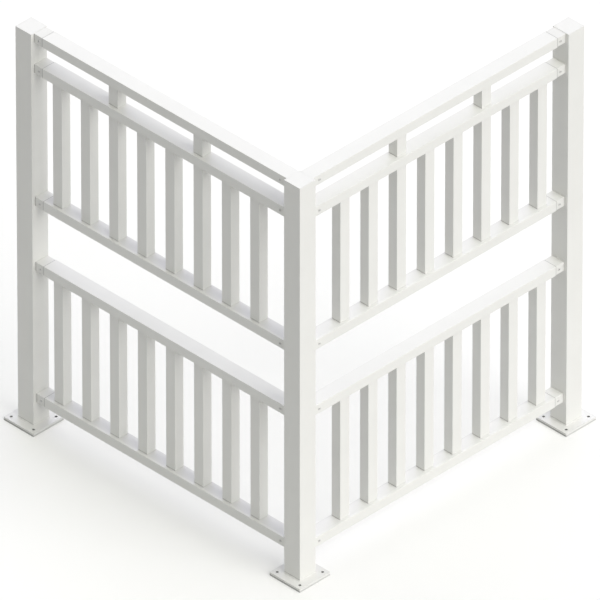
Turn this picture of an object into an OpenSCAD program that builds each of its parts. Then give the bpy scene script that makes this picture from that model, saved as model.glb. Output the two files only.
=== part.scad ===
// Two-bay corner railing: three square posts on drilled base plates and two bays of box rails
// with balusters, set at a right angle. The right bay runs along +X, the left bay along +Y.
// The origin is the middle of the corner post's foot, on the ground.

/* [Posts] */
// Side of the square post tube
post_size = 51; // [46:1:80]
// Wall of the post tube
post_wall = 3; // [1.5:0.5:5]
// Outer corner radius of the post tube
post_radius = 0.75; // [0.5:0.25:4]
// Height of the post tops above the ground
railing_height = 1100; // [1000:10:1400]
// Distance between the middles of two posts
post_spacing = 865; // [500:5:1500]
// Thickness of the flat cap let into the post top
cap_thickness = 3; // [2:0.5:6]

/* [Base plates] */
// How far the square base plate reaches out past the post
plate_reach = 23.5; // [16:0.5:60]
// Thickness of the base plate
plate_thickness = 9; // [5:0.5:16]
// Corner radius of the base plate
plate_radius = 1; // [0.5:0.5:8]
// Distance of an anchor hole's middle from the plate's edges
hole_edge = 12.5; // [8:0.5:14]
// Diameter of the anchor holes
hole_diameter = 7; // [6:0.5:12]

/* [Rails] */
// Height of the rail tube
rail_height = 26; // [20:1:50]
// Depth of the rail tube, across the bay
rail_depth = 40; // [30:1:46]
// Wall of the rail tube
rail_wall = 2; // [1.2:0.2:4]
// Outer corner radius of the rail tube
rail_radius = 1; // [0.5:0.25:5]
// Distance of the rails' middle line behind that of the posts
rail_set_back = 3; // [0:0.5:4]
// Clear height under the bottom rail
ground_gap = 70; // [40:5:150]
// Clear height of the hand slot under the top rail
hand_slot = 58.5; // [30:0.5:120]

/* [Balusters] */
// Width of the baluster tube, along the bay
baluster_size = 29.5; // [16:0.5:32]
// Depth of the baluster tube, across the bay
baluster_depth = 27.5; // [16:0.5:32]
// Wall of the baluster tube
baluster_wall = 1.5; // [1:0.25:3]
// Outer corner radius of the baluster tube
baluster_radius = 0.75; // [0.5:0.25:3]
// Length of a baluster, the same in both rows
baluster_length = 343; // [200:1:400]
// Distance between the middles of two balusters, counted from the end post
baluster_pitch = 91; // [60:1:120]
// Least clear gap between the corner post and the first baluster
corner_gap = 60; // [40:5:90]
// Distance of the balusters' middle line behind that of the rails
baluster_set_back = 3; // [0:0.5:4]
// Every so many balusters a spacer block stands in the hand slot
spacer_step = 3; // [1:1:4]

/* [Connectors] */
// Length of the connector block that shows between the end post and the rail
connector_length = 26; // [15:1:60]
// How far the connector block's faces lie inside the rail's
connector_inset = 0.8; // [0:0.1:1.4]
// Corner radius of the connector block
connector_radius = 1; // [0.25:0.25:2]
// Shadow gap between the connector block and the rail
seam_gap = 2.2; // [0.4:0.1:3]
// Width of the shoulder behind the shadow gap that the rail's end seats on
seam_seat = 1; // [0.2:0.1:1]
// Length of the spigot inside the rail
spigot_length = 30; // [15:1:60]
// Clearance all round between the spigot and the inside of the rail
spigot_clearance = 0.3; // [0.1:0.05:0.6]

/* [Hidden] */
$fn = 48;

coat = "#ecece8";
coat_shade = "#dcdcd6";

// Levels of the undersides of the five rails, from the ground up
bottom_z = ground_gap;
fourth_z = bottom_z + rail_height + baluster_length;
top_z = railing_height - rail_height;
second_z = top_z - hand_slot - rail_height;
third_z = second_z - baluster_length - rail_height;
rail_levels = [bottom_z, fourth_z, third_z, second_z, top_z];

// Along a bay, measured from the middle of the corner post
rail_start = post_size / 2;
end_face = post_spacing - post_size / 2;
rail_end = end_face - connector_length;
rail_length = rail_end - rail_start;

// Inside of the rail tube, and the spigot, neck and block of the connector that fits it
bore_height = rail_height - 2 * rail_wall;
bore_depth = rail_depth - 2 * rail_wall;
spigot_height = bore_height - 2 * spigot_clearance;
spigot_depth = bore_depth - 2 * spigot_clearance;
neck_height = bore_height + 2 * seam_seat;
neck_depth = bore_depth + 2 * seam_seat;
block_height = rail_height - 2 * connector_inset;
block_depth = rail_depth - 2 * connector_inset;

baluster_line = rail_set_back + baluster_set_back;
// As many balusters as fit between the end post and the corner gap
baluster_room = post_spacing - post_size / 2 - baluster_size / 2 - corner_gap;
baluster_count = floor(baluster_room / baluster_pitch);

plate_size = post_size + 2 * plate_reach;
hole_spacing = plate_size - 2 * hole_edge;

// Places a right-bay piece as its mirror image in the left bay
module left_bay() {
    mirror([1, -1, 0]) children();
}

// A rectangle with round corners, about the origin
module round_rect(width, depth, radius) {
    square([width - 2 * radius, depth], center = true);
    square([width, depth - 2 * radius], center = true);
    for (sx = [-1, 1], sy = [-1, 1])
        translate([sx * (width / 2 - radius), sy * (depth / 2 - radius)]) circle(r = radius);
}

// A box tube along Z that stands on the origin
module box_tube(width, depth, wall, radius, length) {
    linear_extrude(length) difference() {
        round_rect(width, depth, radius);
        square([width - 2 * wall, depth - 2 * wall], center = true);
    }
}

// Turns a piece drawn along Z to lie along +X, with its first size upright
module along_bay(start, level) {
    translate([start, rail_set_back, level + rail_height / 2])
        rotate([0, 90, 0]) children();
}

module post() {
    color(coat)
        translate([0, 0, plate_thickness])
            box_tube(post_size, post_size, post_wall, post_radius, railing_height - plate_thickness);
}

// Flat cap, let into the tube and flush with its top
module post_cap() {
    inner = post_size - 2 * post_wall;
    color(coat)
        translate([0, 0, railing_height - cap_thickness])
            linear_extrude(cap_thickness) square(inner, center = true);
}

module base_plate() {
    color(coat_shade)
        linear_extrude(plate_thickness) difference() {
            round_rect(plate_size, plate_size, plate_radius);
            for (sx = [-1, 1], sy = [-1, 1])
                translate([sx, sy] * hole_spacing / 2) circle(d = hole_diameter);
        }
}

// Rail of the right bay, from the corner post to the connector's shadow gap
module rail(level) {
    color(coat)
        along_bay(rail_start, level)
            box_tube(rail_height, rail_depth, rail_wall, rail_radius, rail_length - seam_gap);
}

// End connector of the right bay: the block on the post, the recessed neck that makes the
// shadow gap, and the spigot that fills the end of the rail
module connector(level) {
    color(coat)
        along_bay(rail_end - seam_gap, level) {
            translate([0, 0, seam_gap])
                linear_extrude(connector_length) round_rect(block_height, block_depth, connector_radius);
            linear_extrude(seam_gap) square([neck_height, neck_depth], center = true);
            translate([0, 0, -spigot_length])
                linear_extrude(spigot_length) square([spigot_height, spigot_depth], center = true);
        }
}

// The five plain spigots on the corner post that the right bay's rails slide over
module corner_spigots() {
    color(coat_shade)
        for (level = rail_levels)
            along_bay(rail_start, level)
                linear_extrude(spigot_length) square([spigot_height, spigot_depth], center = true);
}

// One upright tube of the right bay, a whole number of pitches from the end post
module upright(step, level, length) {
    translate([post_spacing - step * baluster_pitch, baluster_line, level])
        box_tube(baluster_size, baluster_depth, baluster_wall, baluster_radius, length);
}

module baluster_row(level) {
    color(coat)
        for (step = [1 : baluster_count]) upright(step, level + rail_height, baluster_length);
}

module spacers() {
    color(coat)
        for (step = [spacer_step : spacer_step : baluster_count - 1])
            upright(step, second_z + rail_height, hand_slot);
}

module at_right_end() {
    translate([post_spacing, 0, 0]) children();
}

module at_left_end() {
    translate([0, post_spacing, 0]) children();
}

post();  // corner_post
at_right_end() post();  // right_end_post
at_left_end() post();  // left_end_post
base_plate();  // corner_base_plate
at_right_end() base_plate();  // right_base_plate
at_left_end() base_plate();  // left_base_plate
post_cap();  // corner_post_cap
at_right_end() post_cap();  // right_post_cap
at_left_end() post_cap();  // left_post_cap
rail(top_z);  // right_top_rail
rail(second_z);  // right_second_rail
rail(third_z);  // right_third_rail
rail(fourth_z);  // right_fourth_rail
rail(bottom_z);  // right_bottom_rail
left_bay() rail(top_z);  // left_top_rail
left_bay() rail(second_z);  // left_second_rail
left_bay() rail(third_z);  // left_third_rail
left_bay() rail(fourth_z);  // left_fourth_rail
left_bay() rail(bottom_z);  // left_bottom_rail
connector(top_z);  // right_top_connector
connector(second_z);  // right_second_connector
connector(third_z);  // right_third_connector
connector(fourth_z);  // right_fourth_connector
connector(bottom_z);  // right_bottom_connector
left_bay() connector(top_z);  // left_top_connector
left_bay() connector(second_z);  // left_second_connector
left_bay() connector(third_z);  // left_third_connector
left_bay() connector(fourth_z);  // left_fourth_connector
left_bay() connector(bottom_z);  // left_bottom_connector
corner_spigots();  // right_corner_spigots
left_bay() corner_spigots();  // left_corner_spigots
baluster_row(third_z);  // right_upper_balusters
baluster_row(bottom_z);  // right_lower_balusters
left_bay() baluster_row(third_z);  // left_upper_balusters
left_bay() baluster_row(bottom_z);  // left_lower_balusters
spacers();  // right_spacers
left_bay() spacers();  // left_spacers
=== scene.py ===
"""Looks of the two-bay corner railing: coat, screws, foot welds, floor, light and camera."""

import math

import bmesh
import bpy
from mathutils import Matrix, Vector


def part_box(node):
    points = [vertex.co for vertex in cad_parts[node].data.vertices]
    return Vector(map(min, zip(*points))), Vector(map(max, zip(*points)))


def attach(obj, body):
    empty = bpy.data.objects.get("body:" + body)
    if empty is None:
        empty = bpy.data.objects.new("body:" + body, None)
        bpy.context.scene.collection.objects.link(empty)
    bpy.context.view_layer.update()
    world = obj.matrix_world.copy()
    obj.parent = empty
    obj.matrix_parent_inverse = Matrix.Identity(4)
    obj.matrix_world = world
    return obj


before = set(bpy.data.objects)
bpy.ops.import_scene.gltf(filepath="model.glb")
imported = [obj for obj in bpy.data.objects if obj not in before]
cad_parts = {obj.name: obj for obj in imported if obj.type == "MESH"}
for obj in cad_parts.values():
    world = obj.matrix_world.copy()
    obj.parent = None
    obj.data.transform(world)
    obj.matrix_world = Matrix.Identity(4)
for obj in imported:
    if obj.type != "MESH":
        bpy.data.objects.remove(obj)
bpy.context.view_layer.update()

BODY = "root"
AXES = {"X": Vector((1, 0, 0)), "Y": Vector((0, 1, 0)), "Z": Vector((0, 0, 1))}
# Each bay's axis along its rails, and the one across them
BAYS = {"right": ("X", "Y"), "left": ("Y", "X")}
RAILS = ("top", "second", "third", "fourth", "bottom")
# Each post, and the plate that it stands on
POSTS = {
    "corner_post": "corner_base_plate",
    "right_end_post": "right_base_plate",
    "left_end_post": "left_base_plate",
}

# Screws that hold the rails, in metres
SCREW_RADIUS = 0.0038
SCREW_HEIGHT = 0.0018
SCREW_SINK = 0.0002
SCREW_SIDES = 24
# Share of a head's height that is a straight rim, and share of its radius where its dome levels off
SCREW_RIM = 0.25
SCREW_FLAT = 0.55
DOME_STEPS = 5
SOCKET_RADIUS = 0.0023
SOCKET_DEPTH = 0.0016
SOCKET_SIDES = 6
SCREW_TO_END_POST = 0.017
SCREW_TO_CORNER_POST = 0.020

# Weld beads round the post feet, in metres
WELD_LEG = 0.0016
WELD_RIPPLE = 0.0002
WELD_PITCH = 0.0028
WELD_STEP = 0.0007
WELD_SINK = 0.0003
WELD_ARC_POINTS = 6
WELD_CORNER_POINTS = 6
# Share of its leg that a bead has left at the middle of its round face
WELD_BELLY = 0.78
POST_RADIUS = 0.00075

# Anchor holes, told apart from the rest of a plate by their place, for the painted shade inside them
HOLE_EDGE = 0.0125
HOLE_REACH = 0.0035
HOLE_FADE = 0.0002
# Shadow gap between a rail's end and the connector block; the neck in it has a dark tone, painted shade
# that deepens the gap's shadow and stops just short of the block
SEAM_GAP = 0.0022
SEAM_STOP = 0.0002
SEAM_FADE = 0.0001

# Height of the painted shade line where an upright tube meets a rail or a plate, and its share on faces
# along Y
JOINT_SHADE_LINE = 0.0018
JOINT_SHADE_FAINT = 0.2
# The same for the painted shade line along the ground on a plate's sides
GROUND_SHADE_LINE = 0.004
GROUND_SHADE_FAINT = 0.5
# Length of the painted shade line where a connector block meets its post
POST_SHADE_LINE = 0.003
LINE_FADE = 0.0003
# Painted shade on the tops of the rails under the balusters, weaker on the right bay: where it starts
# behind the front edge, and where it is at its full strength
SHADED_RAILS = ("third_rail", "bottom_rail")
RAIL_SHADE_SHARE = {"right": 0.5, "left": 1.0}
RAIL_SHADE_START = 0.004
RAIL_SHADE_FULL = 0.008

# Light and dark tone of each finish
COAT_TONES = ((0.835, 0.835, 0.805), (0.805, 0.805, 0.775))
PLATE_TONES = ((0.835, 0.835, 0.81), (0.80, 0.80, 0.775))
CAST_TONES = ((0.81, 0.81, 0.78), (0.78, 0.78, 0.75))
METAL_TONES = ((0.60, 0.60, 0.59), (0.50, 0.50, 0.49))
SCREW_TONES = ((0.76, 0.76, 0.74), (0.70, 0.70, 0.68))
# Tones of a socket's floor, darker as painted shade in the socket
SOCKET_SHADE_TONES = ((0.47, 0.47, 0.46), (0.40, 0.40, 0.39))
# Colours of painted shade: along joints, on the connector's neck in the seam's gap, in the anchor holes,
# along the ground and on the rail tops
JOINT_SHADE_COLOUR = (0.55, 0.55, 0.53)
SEAM_SHADE_COLOUR = (0.40, 0.40, 0.39)
HOLE_SHADE_COLOUR = (0.42, 0.42, 0.41)
GROUND_SHADE_COLOUR = (0.43, 0.43, 0.42)
RAIL_SHADE_COLOUR = (0.76, 0.76, 0.74)

# Powder coat: share of the dark tone in its clouds and its grain, sizes of their noise, lowest and
# highest roughness, and the orange peel and soft edges in metres
CLOUD_SHARE = 0.8
CLOUD_SCALE = 9.0
GRAIN_SHARE = 0.2
GRAIN_SCALE = 850.0
COAT_GLOSS = (0.34, 0.46)
CAST_GLOSS = (0.42, 0.56)
GLOSS_SCALE = 60.0
COAT_SPECULAR = 0.35
PEEL_SCALE = 520.0
FINE_PEEL_SCALE = 1400.0
PEEL_STRENGTH = 0.10
PEEL_DEPTH = 0.0003
EDGE_RADIUS = 0.0007
EDGE_SAMPLES = 4

# Bare metal inside the rails
METAL_SHARE = 0.85
METAL_GLOSS = (0.38, 0.55)
METAL_TONE_SCALE = 300.0
METAL_MARK_SCALE = 1500.0
METAL_MARK_STRENGTH = 0.15
METAL_MARK_DEPTH = 0.0002

# Camera of the photograph: direction, distance, the point that it looks at and its offset from there
AZIMUTH = math.radians(-45.0)
ELEVATION = math.radians(35.1809)
DISTANCE = 64.683
AIM = Vector((0.300, 0.300, 0.500))
AIM_RIGHT = 0.000356
AIM_UP = -0.02559
LENS = 1700.0
SENSOR = 36.0
FAR_CLIP = 200.0

# Broad lamps: azimuth and elevation in degrees, level where 1 shows a facing white as white, colour
LAMPS = {
    "key": (0.0, 35.0, 0.557, (1.0, 0.983, 0.959)),
    "front_low": (20.0, 20.0, 0.14, (0.985, 0.985, 1.0)),
    "side_high": (45.0, 60.0, 0.164, (0.97, 0.98, 1.0)),
    "back_high": (135.0, 60.0, 0.119, (0.945, 0.93, 1.0)),
    "back_side": (135.0, 35.0, 0.195, (0.69, 0.68, 1.0)),
    "back": (180.0, 35.0, 0.189, (0.98, 1.0, 0.82)),
    "left_high": (225.0, 60.0, 0.064, (0.90, 0.90, 1.0)),
    "left": (270.0, 35.0, 0.054, (1.0, 1.0, 1.0)),
}
LAMP_WIDTH = math.radians(50.0)
AMBIENT_LEVEL = 0.23
AMBIENT_COLOUR = (0.98, 1.0, 0.96)
WHITE = (1.0, 1.0, 1.0)

# Round floor, wide enough to reach past every view
FLOOR_RADIUS = 70.0
FLOOR_SIDES = 96
# Colour that the floor throws back at the railing, near it and far off, and where one fades to the
# other: a painted pool of light
BOUNCE_NEAR = (0.70, 0.70, 0.694)
BOUNCE_FAR = (0.45, 0.45, 0.446)
BOUNCE_START = 0.4
BOUNCE_END = 2.0
# Colour in which the floor shows, and the even lift that makes it white outside the shadow
FLOOR_SHOWN = (0.72, 0.72, 0.72)
FLOOR_LIFT = 0.263
FLOOR_LIFT_COLOUR = (1.0, 1.0, 0.93)


class Tree:
    """Node tree of a material or world, with short ways to add and join nodes."""

    def __init__(self, owner):
        owner.use_nodes = True
        self.nodes = owner.node_tree.nodes
        self.links = owner.node_tree.links
        self.nodes.clear()

    def feed(self, socket, value):
        """Joins a socket to another node's output, or sets it to a constant."""
        if isinstance(value, bpy.types.NodeSocket):
            self.links.new(value, socket)
        else:
            socket.default_value = value

    def add(self, kind, inputs=None, **settings):
        node = self.nodes.new(kind)
        for name, value in settings.items():
            setattr(node, name, value)
        for name, value in (inputs or {}).items():
            self.feed(node.inputs[name], value)
        return node

    def object_place(self):
        return self.add("ShaderNodeTexCoord").outputs["Object"]

    def normal(self):
        return self.add("ShaderNodeNewGeometry").outputs["Normal"]

    def parts(self, vector):
        """The X, Y and Z outputs of a vector."""
        return self.add("ShaderNodeSeparateXYZ", {"Vector": vector}).outputs

    def noise(self, place, scale, detail=2.0):
        inputs = {"Vector": place, "Scale": scale, "Detail": detail}
        return self.add("ShaderNodeTexNoise", inputs).outputs["Fac"]

    def spread(self, value, low, high, start=0.3, end=0.7):
        """Stretches a value between start and end, where most noise lies, to low and high."""
        inputs = {"Value": value, "From Min": start, "From Max": end, "To Min": low, "To Max": high}
        return self.add("ShaderNodeMapRange", inputs).outputs["Result"]

    def math(self, operation, first, second):
        node = self.add("ShaderNodeMath", {0: first, 1: second}, operation=operation)
        return node.outputs["Value"]

    def vector(self, operation, first, second=(0, 0, 0), output="Vector"):
        node = self.add("ShaderNodeVectorMath", {0: first, 1: second}, operation=operation)
        return node.outputs[output]

    def blend(self, factor, first, second):
        """Colour that goes from the first to the second as the factor goes from 0 to 1."""
        node = self.add("ShaderNodeMix", data_type="RGBA")
        sockets = {socket.identifier: socket for socket in node.inputs}
        self.feed(sockets["Factor_Float"], factor)
        self.feed(sockets["A_Color"], first)
        self.feed(sockets["B_Color"], second)
        return next(socket for socket in node.outputs if socket.identifier == "Result_Color")

    def surface(self, shader, output="ShaderNodeOutputMaterial"):
        self.add(output, {"Surface": shader})


def rgba(colour):
    return (*colour, 1.0)


def coat_material(name, tones, gloss=COAT_GLOSS, marks=()):
    """Powder coat: faint cloudiness, fine grain, orange-peel bump and softened edges.

    Each mark is a function and a colour. The function takes the tree and the place on the
    object, and returns a value from 0 to 1 that is 1 where that colour takes the coat's place."""
    light_tone, dark_tone = tones
    material = bpy.data.materials.new(name)
    tree = Tree(material)
    place = tree.object_place()
    clouds = tree.spread(tree.noise(place, CLOUD_SCALE, detail=3.0), 0.0, CLOUD_SHARE)
    grain = tree.spread(tree.noise(place, GRAIN_SCALE, detail=1.0), 0.0, GRAIN_SHARE)
    colour = tree.blend(tree.math("ADD", clouds, grain), rgba(light_tone), rgba(dark_tone))
    for mask, mark_colour in marks:
        colour = tree.blend(mask(tree, place), colour, rgba(mark_colour))
    coarse_peel = tree.noise(place, PEEL_SCALE)
    fine_peel = tree.noise(place, FINE_PEEL_SCALE, detail=1.0)
    soft_edge = tree.add("ShaderNodeBevel", {"Radius": EDGE_RADIUS}, samples=EDGE_SAMPLES)
    bump = tree.add(
        "ShaderNodeBump",
        {
            "Height": tree.math("ADD", coarse_peel, fine_peel),
            "Normal": soft_edge.outputs["Normal"],
            "Strength": PEEL_STRENGTH,
            "Distance": PEEL_DEPTH,
        },
    )
    shader = tree.add(
        "ShaderNodeBsdfPrincipled",
        {
            "Base Color": colour,
            "Roughness": tree.spread(tree.noise(place, GLOSS_SCALE, detail=4.0), *gloss),
            "Normal": bump.outputs["Normal"],
            "Specular IOR Level": COAT_SPECULAR,
        },
    )
    tree.surface(shader.outputs["BSDF"])
    return material


def metal_material(name, tones):
    """Brushed bare metal with fine turned marks."""
    light_tone, dark_tone = tones
    material = bpy.data.materials.new(name)
    tree = Tree(material)
    place = tree.object_place()
    marks = tree.noise(place, METAL_MARK_SCALE, detail=3.0)
    shades = tree.spread(tree.noise(place, METAL_TONE_SCALE), 0.0, 1.0)
    relief = {"Height": marks, "Strength": METAL_MARK_STRENGTH, "Distance": METAL_MARK_DEPTH}
    bump = tree.add("ShaderNodeBump", relief)
    shader = tree.add(
        "ShaderNodeBsdfPrincipled",
        {
            "Base Color": tree.blend(shades, rgba(light_tone), rgba(dark_tone)),
            "Metallic": METAL_SHARE,
            "Roughness": tree.spread(marks, *METAL_GLOSS),
            "Normal": bump.outputs["Normal"],
        },
    )
    tree.surface(shader.outputs["BSDF"])
    return material


def side_strength(tree, faint):
    """1 on faces that look along X, and the faint share on the faces that look along Y, for the painted
    shade lines.
    """
    sideways = tree.parts(tree.vector("ABSOLUTE", tree.normal()))["X"]
    return tree.spread(sideways, faint, 1.0)


def along_bay(tree, place):
    """How far along its own bay a place lies, the same for both bays past the corner."""
    parts = tree.parts(place)
    return tree.math("MAXIMUM", parts["X"], parts["Y"])


def seam_shade_mask(tree, place):
    """1 on a connector's neck and spigot, which end where the block starts past the shadow gap; their
    dark tone is painted shade.
    """
    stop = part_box("right_top_rail")[1].x + SEAM_GAP - SEAM_STOP
    return tree.spread(along_bay(tree, place), 1.0, 0.0, stop - SEAM_FADE, stop)


def post_shade_mask(tree, place):
    """Painted shade line on a connector block along the end post that it sits on."""
    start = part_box("right_top_connector")[1].x - POST_SHADE_LINE
    line = tree.spread(along_bay(tree, place), 0.0, 1.0, start, start + LINE_FADE)
    return tree.math("MULTIPLY", line, side_strength(tree, JOINT_SHADE_FAINT))


def hole_shade_mask_for(plate):
    """Mask of painted shade that is 1 inside the four anchor holes of a plate and fades out past their
    rims.
    """
    low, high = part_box(plate)
    middle = (low + high) / 2
    reach = (high.x - low.x) / 2 - HOLE_EDGE

    def mask(tree, place):
        centred = tree.vector("SUBTRACT", place, middle)
        flat = tree.vector("MULTIPLY", centred, (1, 1, 0))
        folded = tree.vector("ABSOLUTE", flat)
        away = tree.vector("DISTANCE", folded, (reach, reach, 0), output="Value")
        return tree.spread(away, 1.0, 0.0, HOLE_REACH, HOLE_REACH + HOLE_FADE)

    return mask


def rail_shade_mask_for(rail):
    """Mask of painted shade on top of a rail, behind its front edge."""
    bay = rail.split("_")[0]
    across_axis = BAYS[bay][1]
    front_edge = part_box(rail)[0]

    def mask(tree, place):
        behind = tree.parts(tree.vector("SUBTRACT", place, front_edge))[across_axis]
        inside = tree.spread(behind, 0.0, RAIL_SHADE_SHARE[bay], RAIL_SHADE_START, RAIL_SHADE_FULL)
        upwards = tree.parts(tree.normal())["Z"]
        return tree.math("MULTIPLY", inside, upwards)

    return mask


def joint_shade_mask_for(levels, line=JOINT_SHADE_LINE, faint=JOINT_SHADE_FAINT):
    """Mask of painted shade that is 1 along joints at these heights, and fainter on the faces that look
    along Y.
    """

    def mask(tree, place):
        height = tree.parts(place)["Z"]
        lines = 0.0
        for level in levels:
            away = tree.math("ABSOLUTE", tree.math("SUBTRACT", height, level), 0.0)
            near = tree.spread(away, 1.0, 0.0, line, line + LINE_FADE)
            lines = tree.math("MAXIMUM", near, lines)
        return tree.math("MULTIPLY", lines, side_strength(tree, faint))

    return mask


def marks_on(name):
    """Marks of painted shade on a CAD node's coat, in the form that coat_material takes."""
    low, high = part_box(name)
    if name.endswith(("balusters", "spacers")):
        return [(joint_shade_mask_for([low.z, high.z]), JOINT_SHADE_COLOUR)]
    # A painted shade line on each post, just above its foot weld
    if name in POSTS:
        return [(joint_shade_mask_for([low.z + WELD_LEG]), JOINT_SHADE_COLOUR)]
    # Painted shade on the tops of the rails that carry balusters
    if name.endswith(SHADED_RAILS):
        return [(rail_shade_mask_for(name), RAIL_SHADE_COLOUR)]
    if name in POSTS.values():
        # Painted shade line along the ground on the plate's sides
        ground = joint_shade_mask_for([low.z], GROUND_SHADE_LINE, GROUND_SHADE_FAINT)
        # Painted shade in the plate's anchor holes
        return [(ground, GROUND_SHADE_COLOUR), (hole_shade_mask_for(name), HOLE_SHADE_COLOUR)]
    return []


def dress_nodes():
    """Gives every CAD node its material, and returns the plain coat."""
    coat = coat_material("satin_coat", COAT_TONES)
    # The connectors carry painted shade on the neck in the seam's gap and along the end post
    cast_marks = [(seam_shade_mask, SEAM_SHADE_COLOUR), (post_shade_mask, JOINT_SHADE_COLOUR)]
    cast = coat_material("cast_coat", CAST_TONES, CAST_GLOSS, cast_marks)
    metal = metal_material("mill_metal", METAL_TONES)
    for name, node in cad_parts.items():
        marks = marks_on(name)
        if name.endswith("connector"):
            material = cast
        elif name.endswith("spigots"):
            material = metal
        elif marks:
            tones = PLATE_TONES if name in POSTS.values() else COAT_TONES
            material = coat_material(name + "_coat", tones, marks=marks)
        else:
            material = coat
        for slot in node.material_slots:
            slot.material = material
    return coat


def finish_piece(name, mesh, materials):
    """Turns a bmesh into a piece that rides with the railing."""
    bmesh.ops.recalc_face_normals(mesh, faces=mesh.faces)
    data = bpy.data.meshes.new(name)
    mesh.to_mesh(data)
    mesh.free()
    for material in materials:
        data.materials.append(material)
    piece = bpy.data.objects.new(name, data)
    bpy.context.scene.collection.objects.link(piece)
    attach(piece, BODY)


def bridge(mesh, first, second, smooth=True):
    """Joins two closed rings of as many points with quads."""
    for i in range(len(first)):
        j = (i + 1) % len(first)
        mesh.faces.new((first[i], first[j], second[j], second[i])).smooth = smooth


def screw_head(mesh, place):
    """Adds a button head with a hexagon socket; place puts its base on a face, +Z outwards."""

    def ring(radius, height, sides=None):
        points = []
        for i in range(SCREW_SIDES):
            angle = 2 * math.pi * i / SCREW_SIDES
            reach = radius
            if sides:
                part = 2 * math.pi / sides
                reach = radius * math.cos(part / 2) / math.cos(angle % part - part / 2)
            corner = Vector((reach * math.cos(angle), reach * math.sin(angle), height))
            points.append(mesh.verts.new(place @ corner))
        return points

    rings = [ring(SCREW_RADIUS, -SCREW_SINK), ring(SCREW_RADIUS, SCREW_RIM * SCREW_HEIGHT)]
    for step in range(1, DOME_STEPS):
        turn = math.pi / 2 * step / DOME_STEPS
        share = SCREW_FLAT + (1 - SCREW_FLAT) * math.cos(turn)
        rise = SCREW_RIM + (1 - SCREW_RIM) * math.sin(turn)
        rings.append(ring(SCREW_RADIUS * share, SCREW_HEIGHT * rise))
    dome_end = len(rings) - 1
    rings.append(ring(SOCKET_RADIUS, SCREW_HEIGHT, SOCKET_SIDES))
    rings.append(ring(SOCKET_RADIUS, SCREW_HEIGHT - SOCKET_DEPTH, SOCKET_SIDES))
    for index in range(len(rings) - 1):
        bridge(mesh, rings[index], rings[index + 1], smooth=1 <= index < dome_end)
    socket_floor = mesh.faces.new(rings[-1])
    # The socket's floor takes the second material, whose dark tone is painted shade
    socket_floor.material_index = 1
    mesh.faces.new(list(reversed(rings[0])))


def facing(point, outwards):
    """Place of a thing that sits on a face at point and looks outwards from it."""
    return Matrix.Translation(point) @ outwards.to_track_quat("Z", "Y").to_matrix().to_4x4()


def rail_screws(materials):
    """Screws through both faces of every rail, at its end connector and at the corner post."""
    for bay, (along_axis, across_axis) in BAYS.items():
        along = AXES[along_axis]
        across = AXES[across_axis]
        corner = bmesh.new()
        end = bmesh.new()
        for rail in RAILS:
            rail_low, rail_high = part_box(f"{bay}_{rail}_rail")
            block_low, block_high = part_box(f"{bay}_{rail}_connector")
            level = AXES["Z"] * (rail_low.z + rail_high.z) / 2
            for mesh, reach, low, high in (
                (corner, rail_low.dot(along) + SCREW_TO_CORNER_POST, rail_low, rail_high),
                (end, block_high.dot(along) - SCREW_TO_END_POST, block_low, block_high),
            ):
                for face, side in ((low.dot(across), -1), (high.dot(across), 1)):
                    point = along * reach + across * face + level
                    screw_head(mesh, facing(point, across * side))
        finish_piece(f"{bay}_corner_screws", corner, materials)
        finish_piece(f"{bay}_end_screws", end, materials)


def square_path(low, high, radius, step):
    """Points and outward directions round a square post's foot, with round corners."""
    middle = (low + high) / 2
    half = (high.x - low.x) / 2 - radius
    count = max(2, round(2 * half / step))
    path = []
    for quarter in range(4):
        turn = Matrix.Rotation(quarter * math.pi / 2, 3, "Z")
        for i in range(count):
            point = Vector((half + radius, half * (2 * i / count - 1), 0))
            path.append((turn @ point, turn @ AXES["X"]))
        for i in range(WELD_CORNER_POINTS):
            angle = math.pi / 2 * i / WELD_CORNER_POINTS
            outwards = Vector((math.cos(angle), math.sin(angle), 0))
            path.append((turn @ (Vector((half, half, 0)) + outwards * radius), turn @ outwards))
    return [(Vector((middle.x, middle.y, 0)) + point, outwards) for point, outwards in path]


def weld_section(mesh, foot, outwards, leg):
    """Points of one cut across a bead: its root inside the corner, then its round face."""
    up = AXES["Z"]
    section = [mesh.verts.new(foot - outwards * WELD_SINK - up * WELD_SINK)]
    for i in range(WELD_ARC_POINTS):
        angle = math.pi / 2 * i / (WELD_ARC_POINTS - 1)
        reach = leg * (WELD_BELLY + (1 - WELD_BELLY) * abs(math.cos(2 * angle)))
        around = outwards * math.cos(angle) + up * math.sin(angle)
        section.append(mesh.verts.new(foot + around * reach))
    return section


def foot_welds(material):
    """A rippled fillet weld round each post, in the corner between the tube and its plate."""
    for post, plate in POSTS.items():
        post_low, post_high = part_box(post)
        plate_top = AXES["Z"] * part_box(plate)[1].z
        path = square_path(post_low, post_high, POST_RADIUS, WELD_STEP)
        mesh = bmesh.new()
        sections = []
        travelled = 0.0
        last = path[0][0]
        for point, outwards in path:
            travelled += (point - last).length
            last = point
            leg = WELD_LEG + WELD_RIPPLE * abs(math.sin(math.pi * travelled / WELD_PITCH))
            sections.append(weld_section(mesh, point + plate_top, outwards, leg))
        for index in range(len(sections)):
            bridge(mesh, sections[index], sections[(index + 1) % len(sections)])
        finish_piece(post.replace("_post", "") + "_foot_weld", mesh, [material])


def shown_to_camera(tree):
    """1 for rays that show the surroundings as the camera sees them, also in gloss and glass."""
    path = tree.add("ShaderNodeLightPath").outputs
    direct = tree.math("MAXIMUM", path["Is Camera Ray"], path["Is Glossy Ray"])
    return tree.math("MAXIMUM", direct, path["Is Transmission Ray"])


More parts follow.
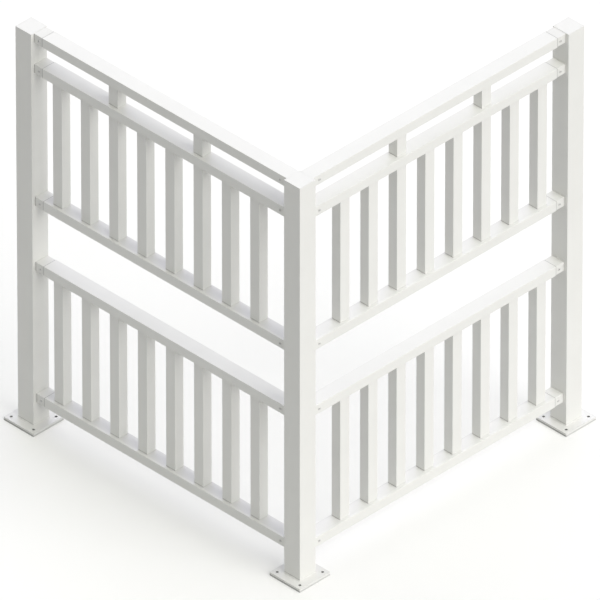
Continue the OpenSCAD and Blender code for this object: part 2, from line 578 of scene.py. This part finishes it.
def floor_material():
    """Pale floor that shows white outside the railing's shadow, and throws back less light far off: a
    painted pool of light round the railing.
    """
    material = bpy.data.materials.new("pale_floor")
    tree = Tree(material)
    away = tree.vector("DISTANCE", tree.object_place(), (AIM.x, AIM.y, 0), output="Value")
    fading = tree.spread(away, 0.0, 1.0, BOUNCE_START, BOUNCE_END)
    # Painted pool of light: the floor's bounce colour is brighter near the railing
    pool = tree.blend(fading, rgba(BOUNCE_NEAR), rgba(BOUNCE_FAR))
    bounce = tree.add("ShaderNodeBsdfDiffuse", {"Color": pool}).outputs["BSDF"]
    shown = tree.add("ShaderNodeBsdfDiffuse", {"Color": rgba(FLOOR_SHOWN)}).outputs["BSDF"]
    glow = tree.add("ShaderNodeEmission", {"Color": rgba(FLOOR_LIFT_COLOUR), "Strength": FLOOR_LIFT})
    lifted = tree.add("ShaderNodeAddShader", {0: shown, 1: glow.outputs["Emission"]}).outputs["Shader"]
    mixed = tree.add("ShaderNodeMixShader", {0: shown_to_camera(tree), 1: bounce, 2: lifted})
    tree.surface(mixed.outputs["Shader"])
    return material


def floor():
    """The round floor that the plates stand on."""
    mesh = bmesh.new()
    bmesh.ops.create_circle(mesh, cap_ends=True, radius=FLOOR_RADIUS, segments=FLOOR_SIDES)
    data = bpy.data.meshes.new("floor")
    mesh.to_mesh(data)
    mesh.free()
    data.materials.append(floor_material())
    plane = bpy.data.objects.new("floor", data)
    bpy.context.scene.collection.objects.link(plane)


def towards(azimuth, elevation):
    """Unit vector from the railing to something at these angles; azimuth 0 is in front, along -Y."""
    level = math.cos(elevation)
    return Vector((math.sin(azimuth) * level, -math.cos(azimuth) * level, math.sin(elevation)))


def lamps():
    """Broad soft lamps all round the railing."""
    for name, (azimuth, elevation, level, colour) in LAMPS.items():
        lamp = bpy.data.lights.new(name, "SUN")
        lamp.energy = level * math.pi
        lamp.angle = LAMP_WIDTH
        lamp.color = colour
        piece = bpy.data.objects.new(name, lamp)
        direction = towards(math.radians(azimuth), math.radians(elevation))
        piece.rotation_euler = direction.to_track_quat("Z", "Y").to_euler()
        bpy.context.scene.collection.objects.link(piece)


def surroundings():
    """Even light from all round, and a white background."""
    world = bpy.data.worlds.new("studio")
    tree = Tree(world)
    even = {"Color": rgba(AMBIENT_COLOUR), "Strength": AMBIENT_LEVEL}
    shown = {"Color": rgba(WHITE), "Strength": 1.0}
    ambient = tree.add("ShaderNodeBackground", even).outputs["Background"]
    white = tree.add("ShaderNodeBackground", shown).outputs["Background"]
    mixed = tree.add("ShaderNodeMixShader", {0: shown_to_camera(tree), 1: ambient, 2: white})
    tree.surface(mixed.outputs["Shader"], "ShaderNodeOutputWorld")
    bpy.context.scene.world = world


def camera():
    """The photograph's camera: a long lens, so that parallel edges stay parallel."""
    back = towards(AZIMUTH, ELEVATION)
    right = Vector((math.cos(AZIMUTH), math.sin(AZIMUTH), 0.0))
    up = back.cross(right)
    data = bpy.data.cameras.new("camera")
    data.lens = LENS
    data.sensor_width = SENSOR
    data.clip_end = FAR_CLIP
    eye = bpy.data.objects.new("camera", data)
    eye.location = AIM + right * AIM_RIGHT + up * AIM_UP + back * DISTANCE
    eye.rotation_euler = back.to_track_quat("Z", "Y").to_euler()
    bpy.context.scene.collection.objects.link(eye)
    bpy.context.scene.camera = eye


bpy.context.scene.view_settings.view_transform = "Standard"
camera()
lamps()
surroundings()
floor()
plain_coat = dress_nodes()
foot_welds(plain_coat)
screw_coat = coat_material("screw_coat", SCREW_TONES)
# Socket floors get a darker coat: painted shade in the sockets
socket_shade_coat = coat_material("socket_shade_coat", SOCKET_SHADE_TONES)
rail_screws([screw_coat, socket_shade_coat])
